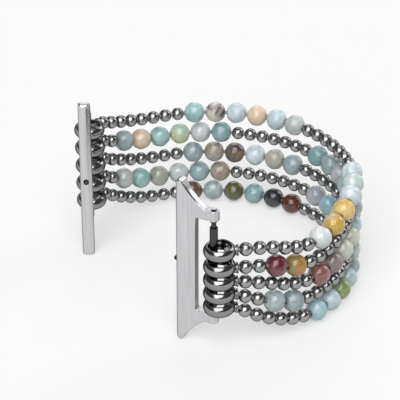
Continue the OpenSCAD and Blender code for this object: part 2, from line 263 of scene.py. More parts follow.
def rounded_section(bore: float, bulge: float, height: float, lip: float,
                    steps: int) -> list[Pair]:
    """Draws a half-round section with softened mouths, as of a bead or a ring.

    Args:
        bore: Radius of the bore.
        bulge: How far the middle stands out beyond the bore.
        height: Height of the section along the bore.
        lip: Radius of the softened mouths.
        steps: Number of steps of the outer arc.

    Returns:
        Radius and height of each corner, from the bottom up along the outside.
    """
    half = height / 2
    radius = (bulge ** 2 + half ** 2) / (2 * bulge)
    middle = bore + bulge - radius
    reach = math.atan2(half, bore - middle)
    # The lip's circle touches the bore and the arc from the inside
    lip_x = bore + lip
    lip_z = math.sqrt(max((radius - lip) ** 2 - (lip_x - middle) ** 2, 0))
    start = min(math.atan2(lip_z, lip_x - middle), reach)
    mouth = arc((lip_x, lip_z), lip, start, math.pi, LIP_STEPS)[1:]
    return (arc((middle, 0), radius, -start, start, steps)
            + mouth + [(r, -z) for r, z in reversed(mouth)])


def joined(name: str, meshes: list[Mesh], crease: float) -> Mesh:
    """Joins meshes of one material into one and shades it smooth up to a crease angle.

    Args:
        name: Name of the new mesh.
        meshes: The meshes, which are deleted.
        crease: Angle in degrees above which an edge stays sharp.

    Returns:
        The joined mesh.
    """
    material = meshes[0].materials[0]
    work = bmesh.new()
    for mesh in meshes:
        work.from_mesh(mesh)
        bpy.data.meshes.remove(mesh)
    made = bpy.data.meshes.new(name)
    work.to_mesh(made)
    work.free()
    made.materials.clear()
    made.materials.append(material)
    made.shade_smooth()
    made.set_sharp_from_angle(angle=math.radians(crease))
    return made


def placed(name: str, data: Any) -> Object:
    """Puts an object into the scene.

    Args:
        name: Name of the object.
        data: Its mesh, or the data of a lamp or a camera.

    Returns:
        The object.
    """
    made = bpy.data.objects.new(name, data)
    bpy.context.scene.collection.objects.link(made)
    return made


def remove(item: Object) -> None:
    """Removes an object together with its mesh.

    Args:
        item: The object.
    """
    mesh = item.data
    bpy.data.objects.remove(item)
    bpy.data.meshes.remove(mesh)


def baked(name: str, blank: Object) -> Mesh:
    """Turns an object with modifiers into a plain mesh.

    Args:
        name: Name of the new mesh.
        blank: The object, which is removed together with its own mesh.

    Returns:
        The plain mesh.
    """
    depsgraph = bpy.context.evaluated_depsgraph_get()
    made = bpy.data.meshes.new_from_object(blank.evaluated_get(depsgraph),
                                           preserve_all_data_layers=True, depsgraph=depsgraph)
    made.name = name
    blank.modifiers.clear()
    remove(blank)
    return made


def add_piece(name: str, mesh: Mesh, slot: str, node: str) -> Object:
    """Puts a finished mesh into the scene in place of a CAD node.

    Args:
        name: Name of the piece.
        mesh: Its mesh, in place, in metres.
        slot: Name of a material slot; not used.
        node: The CAD node that it stands for, whose body it moves with.

    Returns:
        The piece.
    """
    piece = placed(name, mesh)
    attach(piece, BODIES[node])
    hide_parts(node)
    LOG.info("%s: %d faces, moves with %s", name, len(mesh.polygons), BODIES[node])
    return piece


class NodeTool:
    """A Geometry Nodes tree with named inputs, which turns a start mesh into a finished one."""

    def __init__(self, name: str, sizes: dict[str, str]) -> None:
        """Opens an empty tree.

        Args:
            name: Name of the tree.
            sizes: Title and kind of each input besides the geometry and the material.
        """
        self.tree = bpy.data.node_groups.new(name, "GeometryNodeTree")
        face = self.tree.interface
        for title, kind in {"Geometry": "Geometry", **sizes, "Material": "Material"}.items():
            face.new_socket(title, in_out="INPUT", socket_type="NodeSocket" + kind)
        face.new_socket("Geometry", in_out="OUTPUT", socket_type="NodeSocketGeometry")
        self.given = self.add("NodeGroupInput").node.outputs

    def add(self, kind: str, inputs: Inputs | None = None, **settings: Any) -> NodeSocket:
        """Adds a node to this tree, and gives one of its outputs."""
        return add_node(self.tree, kind, inputs, **settings)

    def turned(self, section: NodeSocket) -> NodeSocket:
        """Sweeps a section round a circle, by the inputs "Segments" and "Bore Radius".

        Args:
            section: The line that the function outline draws.

        Returns:
            The turned shell, whose faces point outwards.
        """
        profile = self.add("GeometryNodeMeshToCurve", {0: section})
        path = self.add("GeometryNodeCurvePrimitiveCircle", {
            "Resolution": self.given["Segments"], "Radius": self.given["Bore Radius"]})
        upright = self.add("GeometryNodeSetCurveNormal", {0: path}, mode="Z_UP")
        swept = self.add("GeometryNodeCurveToMesh", {0: upright, "Profile Curve": profile})
        return self.add("GeometryNodeFlipFaces", {0: swept})

    def drawn(self, path: NodeSocket, radius: str, sides: NodeSocket | int) -> NodeSocket:
        """Draws a round wire or cord with closed ends along a curve.

        Args:
            path: The curve.
            radius: Title of the input that holds the wire's radius.
            sides: Number of its sides.

        Returns:
            The wire.
        """
        ring = self.add("GeometryNodeCurvePrimitiveCircle", {
            "Resolution": sides, "Radius": self.given[radius]})
        return self.add("GeometryNodeCurveToMesh", {
            0: path, "Profile Curve": ring, "Fill Caps": True})

    def close(self, geometry: NodeSocket) -> None:
        """Ends the tree: instances become real, and the material is set.

        Args:
            geometry: What the tree has made.
        """
        real = self.add("GeometryNodeRealizeInstances", {0: geometry})
        smooth = self.add("GeometryNodeSetShadeSmooth", {0: real})
        dressed = self.add("GeometryNodeSetMaterial", {
            0: smooth, "Material": self.given["Material"]})
        self.add("NodeGroupOutput", {0: dressed})

    def make(self, name: str, start: Mesh, values: dict[str, Any]) -> Mesh:
        """Runs the tree on a start mesh.

        Args:
            name: Name of the new mesh.
            start: The mesh that goes in, which is deleted.
            values: The value of each named input.

        Returns:
            The finished plain mesh.
        """
        blank = placed(name, start)
        modifier = blank.modifiers.new(name, "NODES")
        modifier.node_group = self.tree
        for item in self.tree.interface.items_tree:
            if item.item_type == "SOCKET" and item.in_out == "INPUT" and item.name in values:
                modifier[item.identifier] = values[item.name]
        return baked(name, blank)


class Lathe(NodeTool):
    """Turns a section round the Z axis, as a lathe does."""

    HAIR = 0.01  # radius of the path of a solid piece, which is then closed to a pole
    POLE = 0.021  # width within which a pole's points are one

    def __init__(self) -> None:
        """Builds the tree: the outline is turned, and its poles are closed."""
        super().__init__("lathe", {
            "Bore Radius": "Float", "Segments": "Int", "Pole Width": "Float"})
        poles = self.add("GeometryNodeMergeByDistance", {
            0: self.turned(self.given["Geometry"]), "Distance": self.given["Pole Width"]})
        self.close(poles)

    def turn(self, name: str, section: list[Pair], material: Material, segments: int,
             closed: bool = True) -> Mesh:
        """Turns one piece.

        Args:
            name: Name of the mesh.
            section: Radius and height of each corner, from the bottom up along the outside.
            material: The piece's material.
            segments: Number of flats round the piece.
            closed: Whether the section is a closed loop round a bore, or ends on the axis.

        Returns:
            The turned mesh about the Z axis, in metres.
        """
        bore = min(r for r, _ in section) if closed else self.HAIR
        return self.make(name, outline(name, section, bore, closed), {
            "Bore Radius": bore * MM, "Segments": segments, "Material": material,
            "Pole Width": 0.0 if closed else self.POLE * MM})


class CoilWinder(NodeTool):
    """Winds wire into a coil spring along the Z axis."""

    STEPS = 28  # of the helix, in one turn
    SIDES = 12  # of the wire
    CREASE = 60

    def __init__(self) -> None:
        """Builds the tree: a round wire follows a helix that stands on the start point."""
        super().__init__("coil_winder", {
            "Turns": "Float", "Radius": "Float", "Height": "Float", "Wire Radius": "Float"})
        given = self.given
        helix = self.add("GeometryNodeCurveSpiral", {
            "Resolution": self.STEPS, "Rotations": given["Turns"], "Height": given["Height"],
            "Start Radius": given["Radius"], "End Radius": given["Radius"]})
        coil = self.drawn(helix, "Wire Radius", self.SIDES)
        self.close(self.add("GeometryNodeInstanceOnPoints", {
            "Points": given["Geometry"], "Instance": coil}))

    def wind(self, name: str, base: float, height: float, outer: float, wire: float,
             turns: float, material: Material) -> Mesh:
        """Winds one spring.

        Args:
            name: Name of the mesh.
            base: Height at which the wire's middle starts.
            height: Height from there to where it ends.
            outer: Outer diameter of the coil.
            wire: Diameter of the wire.
            turns: Number of turns.
            material: The wire's material.

        Returns:
            The spring about the Z axis, in metres.
        """
        made = self.make(name, mesh_of(name, [(0, 0, base * MM)]), {
            "Turns": float(turns), "Radius": (outer - wire) / 2 * MM, "Height": height * MM,
            "Wire Radius": wire / 2 * MM, "Material": material})
        return joined(name, [made], self.CREASE)


# Finishes


@dataclass(frozen=True)
class Finish:
    """What every finish has: a name that says what it is and how its surface was made."""

    name: str

    def material(self) -> Material:
        """Makes the material.

        Returns:
            The material, with a Principled shader that the finish feeds.
        """
        made = bpy.data.materials.new(self.name)
        made.use_nodes = True
        add = partial(add_node, made.node_tree)
        feed(made.node_tree.nodes["Principled BSDF"],
             self.shader_inputs(add, add("ShaderNodeTexCoord", out="Object")))
        return made

    def shader_inputs(self, add: Adder, place: NodeSocket) -> Inputs:
        """Adds the finish's nodes.

        Args:
            add: Adds a node to the material's tree.
            place: The place on the piece, in metres.

        Returns:
            What feeds each input of the shader.
        """
        raise NotImplementedError


@dataclass(frozen=True)
class SteelFinish(Finish):
    """Stainless steel that was drawn, turned or pressed and then polished.

    The eye gets mirror reflections, broken a little by polishing haze and fine marks.
    """

    colour: str
    roughness: float
    haze: float  # how much rougher the cloudy patches are
    marks: float
    edge: str = "#505050"  # how bright the mirror is where the surface turns away
    cloud_width: float = 1.4
    mark_width: float = 0.16  # the real marks are too fine to show, so they are drawn coarser

    def shader_inputs(self, add: Adder, place: NodeSocket) -> Inputs:
        """Adds the haze and the marks.

        Args:
            add: Adds a node to the material's tree.
            place: The place on the piece, in metres.

        Returns:
            Haze on the roughness, and marks as bumps.
        """
        cloud = add("ShaderNodeTexNoise", {
            "Vector": place, "Scale": per_mm(self.cloud_width), "Detail": 3.0})
        rough = add("ShaderNodeMapRange", {
            "Value": cloud, "From Min": 0.35, "From Max": 0.65,
            "To Min": self.roughness, "To Max": self.roughness + self.haze})
        fine = add("ShaderNodeTexNoise", {
            "Vector": place, "Scale": per_mm(self.mark_width), "Detail": 2.0})
        bump = add("ShaderNodeBump", {
            "Height": fine, "Strength": self.marks, "Distance": 0.01 * MM})
        return {"Base Color": linear(self.colour), "Specular Tint": linear(self.edge),
                "Metallic": 1.0, "Roughness": rough, "Normal": bump}


# Balls tumbled bright: small round mirrors that the wear of handling dulls a little
BALL_STEEL = SteelFinish("tumbled_steel_balls", "#a0a09f", roughness=0.17, haze=0.06, marks=0.1)
# Rings polished to a mirror: sharp bands of dark room and white light
RING_STEEL = SteelFinish("mirror_polished_steel", "#919190", roughness=0.1, haze=0.05, marks=0.06)
# Tube and pins drawn through a die: nearly black, with a thin soft gleam along them
BAR_STEEL = SteelFinish("drawn_bar_steel", "#4a4a4b", roughness=0.2, haze=0.08, marks=0.2)
# Wire drawn hard: grey, and duller than the bar that it sits in
WIRE_STEEL = SteelFinish("spring_wire", "#77777a", roughness=0.25, haze=0.1, marks=0.2)


@dataclass(frozen=True)
class AdapterSteel(Finish):
    """Investment-cast stainless steel, polished on the lug and brushed on the arms.

    The eye gets a soft mirror on the lug's ends and upright brushed lines elsewhere, as far as
    the mesh's attribute "brush" says.
    """

    name: str = "cast_stainless_steel"
    colour: str = "#cfcfd1"
    edge: str = "#6a6a6a"
    polished: float = 0.12
    brushed: float = 0.34
    wear: float = 0.08
    wear_width: float = 2.0
    line_width: float = 0.28  # the grit's own 0.03 is too fine to show, so it is drawn coarser
    line_length: float = 9.0

    def shader_inputs(self, add: Adder, place: NodeSocket) -> Inputs:
        """Adds the brushed lines and the wear.

        Args:
            add: Adds a node to the material's tree.
            place: The place on the piece, in metres.

        Returns:
            Lines as bumps and as painted light and dark streaks in the colour, wear on the
            roughness.
        """
        brush = add("ShaderNodeAttribute", out="Fac", attribute_name="brush")
        across, along = per_mm(self.line_width), per_mm(self.line_length)
        stretched = add("ShaderNodeMapping", {
            "Vector": place, "Scale": (across, across, along)})
        lines = add("ShaderNodeTexNoise", {"Vector": stretched, "Scale": 1.0, "Detail": 3.0})
        cloud = add("ShaderNodeTexNoise", {"Vector": place, "Scale": per_mm(self.wear_width)})
        rough = add("ShaderNodeMapRange", {
            "Value": brush, "To Min": self.polished, "To Max": self.brushed})
        worn = add("ShaderNodeMath", {0: cloud, 1: self.wear, 2: rough},
                   operation="MULTIPLY_ADD")
        bump = add("ShaderNodeBump", {
            "Height": lines, "Strength": brush, "Distance": 0.012 * MM})
        # Painted reflection streaks: the colour is darker and lighter along the brushed lines, all
        # over the adapter, for the streaks that brushed metal shows in its reflections
        painted_streaks = add("ShaderNodeMapRange", {
            "Value": lines, "From Min": 0.3, "From Max": 0.7, "To Min": 0.88, "To Max": 1.05})
        shade = add("ShaderNodeVectorMath", {0: linear(self.colour)[:3], "Scale": painted_streaks},
                    operation="SCALE")
        return {"Base Color": shade, "Specular Tint": linear(self.edge), "Metallic": 1.0,
                "Roughness": worn, "Normal": bump}


@dataclass(frozen=True)
class StoneFinish(Finish):
    """Amazonite and its matrix, tumbled and polished.

    The eye gets milky, slightly translucent colour in soft patches under a wet gloss. Each
    bead's attributes "tint", "figure" and "share" give its two colours and how much is figure.
    """

    name: str = "tumbled_amazonite"
    patch_width: float = 2.2
    patch_top: float = 0.78  # level of the pattern that a bead with no figure never reaches
    patch_edge: float = 0.13  # half of the soft step between the two colours, in that level
    grain: float = 0.5
    polished: float = 0.12
    dull: float = 0.24
    ior: float = 1.53
    glow: float = 0.75
    glow_depth: float = 1.3
    gloss: float = 0.6

    def shader_inputs(self, add: Adder, place: NodeSocket) -> Inputs:
        """Adds the patches and the milky mottling.

        Args:
            add: Adds a node to the material's tree.
            place: The place on the piece, in metres.

        Returns:
            Patches and mottling as colour and roughness.
        """
        tint, figure, share = (
            add("ShaderNodeAttribute", out=out, attribute_name=title)
            for title, out in (("tint", "Color"), ("figure", "Color"), ("share", "Fac")))
        # Patches of the second colour, as large as the bead's share of it
        patch = add("ShaderNodeTexNoise", {
            "Vector": place, "Scale": per_mm(self.patch_width), "Detail": 3.0,
            "Roughness": 0.5, "Distortion": 0.4})
        level = add("ShaderNodeMath", {0: self.patch_top, 1: share}, operation="SUBTRACT")
        low, high = (add("ShaderNodeMath", {0: level, 1: self.patch_edge}, operation=sign)
                     for sign in ("SUBTRACT", "ADD"))
        mask = add("ShaderNodeMapRange", {"Value": patch, "From Min": low, "From Max": high},
                   interpolation_type="SMOOTHSTEP")
        body = add("ShaderNodeMix", {"Factor": mask, 6: tint, 7: figure}, out=2,
                   data_type="RGBA")
        mottle = add("ShaderNodeTexNoise", {
            "Vector": place, "Scale": per_mm(self.grain), "Detail": 2.0})
        milk = add("ShaderNodeMapRange", {
            "Value": mottle, "From Min": 0.3, "From Max": 0.7, "To Min": 0.93, "To Max": 1.05})
        colour = add("ShaderNodeVectorMath", {0: body, 1: milk}, operation="MULTIPLY")
        rough = add("ShaderNodeMapRange", {
            "Value": mottle, "To Min": self.polished, "To Max": self.dull})
        return {"Base Color": colour, "Roughness": rough, "IOR": self.ior,
                "Subsurface Weight": self.glow, "Subsurface Radius": (1.0, 0.9, 0.8),
                "Subsurface Scale": self.glow_depth * MM,
                "Coat Weight": self.gloss, "Coat Roughness": 0.05}


@dataclass(frozen=True)
class ElasticFinish(Finish):
    """Extruded polyurethane elastic.

    The eye gets a slightly clear cord with a satin skin. Its grey colour is painted shade: the
    real cord is clear, and the grey stands in for the dark bead holes seen through it.
    """

    name: str = "polyurethane_elastic"
    # Painted shade: grey for the dark bead holes seen through the clear cord
    colour: str = "#9a9994"
    roughness: float = 0.38
    unevenness: float = 0.1
    grain: float = 0.5
    glow: float = 0.3
    glow_depth: float = 0.3

    def shader_inputs(self, add: Adder, place: NodeSocket) -> Inputs:
        """Adds the uneven satin.

        Args:
            add: Adds a node to the material's tree.
            place: The place on the piece, in metres.

        Returns:
            The cord's colour, satin and clearness.
        """
        grain = add("ShaderNodeTexNoise", {"Vector": place, "Scale": per_mm(self.grain)})
        rough = add("ShaderNodeMapRange", {
            "Value": grain, "To Min": self.roughness - self.unevenness,
            "To Max": self.roughness + self.unevenness})
        return {"Base Color": linear(self.colour), "Roughness": rough,
                "Subsurface Weight": self.glow, "Subsurface Radius": (1.0, 1.0, 1.0),
                "Subsurface Scale": self.glow_depth * MM}


class StoneKind(Enum):
    """The kinds of stone in the band: colour of the body and of its figure, figure's share."""

    SNOW = "#eaecec", "#d6dddd", 0.25
    ICE = "#c3d1d8", "#dde6e9", 0.3
    MINT = "#bdd0ca", "#d7e1de", 0.3
    CREAM = "#d3caa0", "#d2ad54", 0.38
    HONEY = "#e3b859", "#ecd08c", 0.25
    IVORY = "#d3dac9", "#e6e6d2", 0.3
    PEARL = "#b9c4bf", "#cfd5cf", 0.3
    SKY = "#b3ccd3", "#cbdce0", 0.35
    PEACH = "#e0c0a1", "#e6d2bb", 0.4
    TEAL = "#93bcba", "#aecfce", 0.3
    SEA = "#78a4a4", "#9bb4b8", 0.33
    SAGE = "#b5cdbb", "#cfcfa4", 0.3
    OLIVE = "#767148", "#5c5c38", 0.3
    MOSS = "#8c8f5a", "#b8843c", 0.3
    LIME = "#b9be7b", "#8fa06a", 0.3
    FOG = "#9fb0b1", "#b8c3c4", 0.3
    SLATE = "#93a5aa", "#a9b6b8", 0.3
    MIST = "#b9c3c3", "#d2d8d8", 0.3
    LILAC = "#a3a9b0", "#bcbfc6", 0.3
    AQUA = "#92bcc7", "#b6d1d7", 0.3
    TAUPE = "#a49b97", "#877a74", 0.3
    SAND = "#bbb7aa", "#a9aea4", 0.3
    UMBER = "#857767", "#54433a", 0.32
    ROSE = "#b27a71", "#94605c", 0.3
    PLUM = "#6b2431", "#87525f", 0.22
    RUST = "#863e25", "#5e2a20", 0.4
    INK = "#23262d", "#3a3f49", 0.2
    PIED = "#d6cec2", "#2f2926", 0.21
    BLUSH = "#aeaba2", "#9d8873", 0.26
    AMBER = "#a9835a", "#6e5340", 0.35

    def __init__(self, tint: str, figure: str, share: float) -> None:
        """Takes the kind's looks from its value."""
        self.tint, self.figure, self.share = tint, figure, share


K = StoneKind  # short, for the lists of stones
# Stones of each strand, in order from the near ring
STONES: dict[int, list[StoneKind]] = {
    1: [K.SNOW, K.CREAM, K.HONEY, K.ICE, K.MINT, K.ICE,
        K.PEARL, K.SKY, K.PEACH, K.ICE, K.PIED, K.TEAL],
    2: [K.PLUM, K.MOSS, K.FOG, K.IVORY, K.TEAL, K.LILAC, K.SLATE, K.SEA,
        K.SEA, K.MIST, K.SAGE, K.TEAL, K.PEACH, K.FOG],
    3: [K.ROSE, K.TAUPE, K.IVORY, K.IVORY, K.SKY, K.LILAC,
        # The last stone of strand 3 is the darker slate partly as painted shade, for the shade
        # between the strands where it lies
        K.SLATE, K.SAND, K.ICE, K.UMBER, K.BLUSH, K.SLATE],
    4: [K.FOG, K.SLATE, K.MINT, K.SKY, K.MIST, K.SAGE, K.AQUA, K.LILAC,
        K.BLUSH, K.SEA, K.MIST, K.SAND, K.TEAL, K.PEARL],
    5: [K.AQUA, K.SKY, K.LIME, K.SKY, K.FOG, K.SAGE,
        K.RUST, K.INK, K.SEA, K.OLIVE, K.FOG, K.AMBER],
}


# Sub-assemblies


class Side(Enum):
    """The two ends of the band."""

    NEAR = "near"
    FAR = "far"

    def ring_middle(self, strand: int) -> float:
        """Gives the height of the middle of a strand's bail ring on this side."""
        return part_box(f"{self.value}_ring_{strand}")[1].z / MM - RING_HEIGHT / 2

    def exit_drop(self, strand: int) -> float:
        """Gives how far below that middle the strand's cord leaves the ring."""
        return EXIT_DROP if self is Side.NEAR and strand > 1 else 0.0


@dataclass(frozen=True)
class Loop:
    """Plan of the strands: an arc from the near spring bar round the back to the far one."""

    radius: float = 25.336
    centre_x: float = -4.776
    half_angle: float = 122.5
    length: float = 108.34
    middle: float = 15.75  # height of the middle of the band
    near_flex: float = 19.2  # distances along the strands of the two hinges
    far_flex: float = 86.94

    def point(self, place: float, height: float | None = None) -> Vector:
        """Gives a point of the loop.

        Args:
            place: Distance along the strands.
            height: Height of the point, or None for the band's middle.

        Returns:
            The point, in metres.
        """
        angle = math.radians(self.half_angle * (2 * place / self.length - 1))
        return Vector((self.centre_x + self.radius * math.cos(angle),
                       self.radius * math.sin(angle),
                       self.middle if height is None else height)) * MM

    def place(self, point: Vector) -> float:
        """Gives the distance along the strands of a point in metres."""
        angle = math.degrees(math.atan2(point.y, point.x - self.centre_x * MM))
        return (angle / self.half_angle + 1) * self.length / 2


@dataclass(frozen=True)
class BeadForm:
    """Shape of one kind of bead."""

    name: str
    diameter: float
    lip: float  # radius of the softened mouths of the cord hole
    steps: int  # of the outline
    flats: int  # round the hole
    facet_depth: float


@dataclass
class Bead:
    """One bead of a strand."""

    centre: Vector
    node: str
    place: float
    along: Vector = field(default_factory=lambda: Vector((0, 1, 0)))
    stone: StoneKind | None = None


@dataclass
class BeadStrands:
    """All the beads: steel balls and stone beads, one row of points for each CAD node."""

    loop: Loop
    ball: BeadForm = BeadForm("ball_section", 2.4, 0.06, 14, 28, 0.0)
    # The stones are cut by hand, and tumbling wore their facets soft
    round_stone: BeadForm = BeadForm("stone_section", 4.0, 0.16, 22, 44, 0.07)
    bore: float = 1.0
    facet_width: float = 1.5
    split_height: float = 12.2  # between strands 2 and 4, where one node holds beads of both
    strands: dict[int, list[Bead]] = field(default_factory=dict)

    NODE = re.compile(r"(near|back_near|back_far|far)_(metal_beads|stones)_(\d)(_\d)?$")

    def read(self) -> None:
        """Finds each bead's place in the CAD nodes, and its direction from its neighbours."""
        for name, node in sorted(frame["nodes"].items()):
            found = self.NODE.match(name)
            if not found:
                continue
            for corners in loose_solids(node.data):
                centre = Vector((corners.min(0) + corners.max(0)) / 2)
                strand = int(found[3])
                if found[4] and centre.z < self.split_height * MM:
                    strand = int(found[4][1:])
                self.strands.setdefault(strand, []).append(
                    Bead(centre, name, self.loop.place(centre)))
        for strand, beads in self.strands.items():
            beads.sort(key=lambda bead: bead.place)
            for i, bead in enumerate(beads):
                ahead, behind = beads[min(i + 1, len(beads) - 1)], beads[max(i - 1, 0)]
                bead.along = (ahead.centre - behind.centre).normalized()
            stones = [bead for bead in beads if "stones" in bead.node]
            for bead, kind in zip(stones, STONES[strand], strict=True):
                bead.stone = kind

    def tool(self) -> NodeTool:
        """Builds the tree that turns a bead from its section and sets one on each point.

        Returns:
            The tool, with the section, the bore and the facets as named inputs.
        """
        tool = NodeTool("bead_row", {
            "Section": "Object", "Bore Radius": "Float", "Segments": "Int",
            "Facet Depth": "Float", "Facet Scale": "Float"})
        given = tool.given
        drawn = tool.add("GeometryNodeObjectInfo", {"Object": given["Section"]}, out="Geometry")
        along = tool.add("GeometryNodeInputNamedAttribute", {"Name": "along"},
                         data_type="FLOAT_VECTOR")
        facing = tool.add("FunctionNodeAlignRotationToVector", {"Vector": along}, axis="Z")
        row = tool.add("GeometryNodeInstanceOnPoints", {
            "Points": given["Geometry"], "Instance": tool.turned(drawn), "Rotation": facing})
        real = tool.add("GeometryNodeRealizeInstances", {0: row})
        # A facet lies deepest in its middle, and its edges stay on the round
        cut = tool.add("ShaderNodeTexVoronoi", {"Scale": given["Facet Scale"], "Randomness": 0.8})
        square = tool.add("ShaderNodeMath", {0: cut, 1: cut}, operation="MULTIPLY")
        share = tool.add("ShaderNodeMapRange", {
            "Value": square, "From Min": 0.0, "From Max": 0.5, "To Min": -1.0, "To Max": 0.0})
        height = tool.add("ShaderNodeMath", {0: share, 1: given["Facet Depth"]},
                          operation="MULTIPLY")
        normal = tool.add("GeometryNodeInputNormal")
        push = tool.add("ShaderNodeVectorMath", {0: normal, "Scale": height}, operation="SCALE")
        tool.close(tool.add("GeometryNodeSetPosition", {0: real, "Offset": push}))
        return tool

    def section(self, form: BeadForm) -> Object:
        """Draws a bead's section as an object that the tree reads.

        Args:
            form: The bead's shape.

        Returns:
            The object, which is removed once the rows are made.
        """
        bore, radius = self.bore / 2, form.diameter / 2
        height = 2 * math.sqrt(radius ** 2 - bore ** 2)
        corners = rounded_section(bore, radius - bore, height, form.lip, form.steps)
        return placed(form.name, outline(form.name, corners, bore))

    def points(self, name: str, beads: list[Bead]) -> Mesh:
        """Makes the points of one row, with each bead's direction and colours as attributes.

        Args:
            name: Name of the mesh.
            beads: The row's beads, all of one kind.

        Returns:
            The points.
        """
        mesh = mesh_of(name, [bead.centre for bead in beads])
        set_attribute(mesh, "along", "FLOAT_VECTOR", [bead.along for bead in beads])
        if beads[0].stone:
            kinds = [bead.stone for bead in beads]
            set_attribute(mesh, "tint", "FLOAT_COLOR", [linear(kind.tint) for kind in kinds])
            set_attribute(mesh, "figure", "FLOAT_COLOR", [linear(kind.figure) for kind in kinds])
            set_attribute(mesh, "share", "FLOAT", [kind.share for kind in kinds])
        return mesh

    def build(self, steel: Material, stone: Material) -> None:
        """Makes one piece for each CAD node of beads.

        Args:
            steel: Material of the steel beads.
            stone: Material of the stone beads.
        """
        self.read()
        tool = self.tool()
        sections = {form: self.section(form) for form in (self.ball, self.round_stone)}
        rows: dict[str, list[Bead]] = {}
        for beads in self.strands.values():
            for bead in beads:
                rows.setdefault(bead.node, []).append(bead)
        for name, beads in rows.items():
            _, _, number, both = self.NODE.match(name).groups()
            form, dress, slot = self.ball, steel, "bead_steel"
            if beads[0].stone:
                form, dress = self.round_stone, stone
                slot = "stone_ends" if both else f"stone_strand_{number}"
            made = tool.make(name + "_turned", self.points(name, beads), {
                "Section": sections[form], "Bore Radius": self.bore / 2 * MM,
                "Segments": form.flats, "Facet Depth": form.facet_depth * MM,
                "Facet Scale": per_mm(self.facet_width), "Material": dress})
            add_piece(name + "_turned", made, slot, name)
        for section in sections.values():
            remove(section)


@dataclass
class ElasticCords:
    """The five elastic cords, in lengths that each reach across a joint, with knots in the rings.
    """

    loop: Loop
    strands: dict[int, list[Bead]]
    diameter: float = 0.7
    sides: int = 14
    steps: int = 4  # of the curve, from one bead to the next
    knot_size: float = 1.3
    knot_cord: float = 0.52  # the cord is pulled thinner where it is tied
    knot_sides: int = 12
    knot_steps: int = 36
    knot_place: float = 2.15
    exit_place: float = 4.2
    near_cut: float = 37.0  # where one length ends and the next begins, inside a bead
    far_cut: float = 71.0
    overlap: float = 0.7
    bend: float = 1.2  # half of the stretch of cord that bends at a hinge
    stretch: Pair = (-1.5, 1.7)  # of cord that lengthens, from the middle of the back
    crease: float = 60

    def tool(self) -> NodeTool:
        """Builds the tree that draws a cord along each line of the start mesh.

        Returns:
            The tool, with the cord's radius and number of sides as named inputs.
        """
        tool = NodeTool("cord", {"Radius": "Float", "Sides": "Int"})
        line = tool.add("GeometryNodeMeshToCurve", {0: tool.given["Geometry"]})
        tool.close(tool.drawn(line, "Radius", tool.given["Sides"]))
        return tool

    def route(self, strand: int) -> list[tuple[float, Vector]]:
        """Lays a strand's cord from knot to knot, through the middle of every bead.

        Args:
            strand: Number of the strand.

        Returns:
            Places along the loop, and the points in metres.
        """
        near, far = (side.ring_middle(strand) - side.exit_drop(strand) for side in Side)
        last = self.loop.length
        stops = [(s, self.loop.point(s, near)) for s in (self.knot_place, self.exit_place)]
        stops += [(bead.place, bead.centre) for bead in self.strands[strand]]
        stops += [(s, self.loop.point(s, far))
                  for s in (last - self.exit_place, last - self.knot_place)]
        laid = []
        for i in range(len(stops) - 1):
            (s0, a), (s1, b) = stops[i], stops[i + 1]
            before = stops[i - 1][1] if i else a
            after = stops[i + 2][1] if i + 2 < len(stops) else b
            for t in np.linspace(0, 1, self.steps, endpoint=False):
                # A Catmull-Rom curve, which runs smoothly through the stops
                point = 0.5 * (2 * a + (b - before) * t
                               + (2 * before - 5 * a + 4 * b - after) * t ** 2
                               + (3 * a - before - 3 * b + after) * t ** 3)
                laid.append((s0 + (s1 - s0) * t, point))
        return laid + [stops[-1]]

    def knot(self, centre: Vector, along: Vector) -> list[Vector]:
        """Ties a small overhand knot.

        Args:
            centre: Middle of the knot, in metres.
            along: Direction of the cord that leaves it.

        Returns:
            The points of a closed line.
        """
        # The curve reaches 3 from its middle
        wide = (self.knot_size - self.knot_cord) / 2 / 3 * MM
        turned = along.to_track_quat("Z", "Y").to_matrix()
        return [centre + turned @ Vector((math.sin(t) + 2 * math.sin(2 * t),
                                          math.cos(t) - 2 * math.cos(2 * t),
                                          -1.2 * math.sin(3 * t))) * wide
                for t in np.linspace(0, 2 * math.pi, self.knot_steps, endpoint=False)]

    def build(self, elastic: Material) -> None:
        """Makes the cords in three lengths, each of which reaches across one joint.

        Args:
            elastic: Material of the cords.
        """
        tool = self.tool()
        loop, last, bend = self.loop, self.loop.length, self.bend
        lengths = {
            "near": (0, self.near_cut, "near_strands", "back_near",
                     loop.near_flex - bend, loop.near_flex + bend),
            "back": (self.near_cut, self.far_cut, "back_near", "back_far",
                     last / 2 + self.stretch[0], last / 2 + self.stretch[1]),
            "far": (self.far_cut, last, "back_far", "far_strands",
                    loop.far_flex - bend, loop.far_flex + bend),
        }
        nodes = [f"cord_{strand}" for strand in self.strands]
        routes = [self.route(strand) for strand in self.strands]
        for name, (low, high, first, second, start, end) in lengths.items():
            points: list[Vector] = []
            edges: list[tuple[int, int]] = []
            loops: list[Vector] = []
            rings: list[tuple[int, int]] = []
            for route in routes:
                part = [point for place, point in route
                        if low - self.overlap <= place <= high + self.overlap]
                edges += chain(len(points), len(part), closed=False)
                points += part
                if name == "back":
                    continue
                tied, ahead = part[:2] if name == "near" else part[:-3:-1]
                knot = self.knot(tied, (ahead - tied).normalized())
                rings += chain(len(loops), len(knot), closed=True)
                loops += knot
            title = f"elastic_{name}"
            meshes = [tool.make(title, mesh_of(title, points, edges), {
                "Radius": self.diameter / 2 * MM, "Sides": self.sides, "Material": elastic})]
            if loops:
                meshes.append(tool.make(title + "_knots", mesh_of(title, loops, rings), {
                    "Radius": self.knot_cord / 2 * MM, "Sides": self.knot_sides,
                    "Material": elastic}))
            piece = placed(title, joined(title, meshes, self.crease))
            loop.point(start)
            loop.point(end)
            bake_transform(piece)
            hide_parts(*nodes)
            LOG.info("%s: %d faces, bends from %s to %s", title, len(piece.data.polygons),
                     first, second)


@dataclass(frozen=True)
class Steels:
    """The steels of the end fittings."""

    adapter: Material
    bar: Material
    ring: Material
    spring: Material


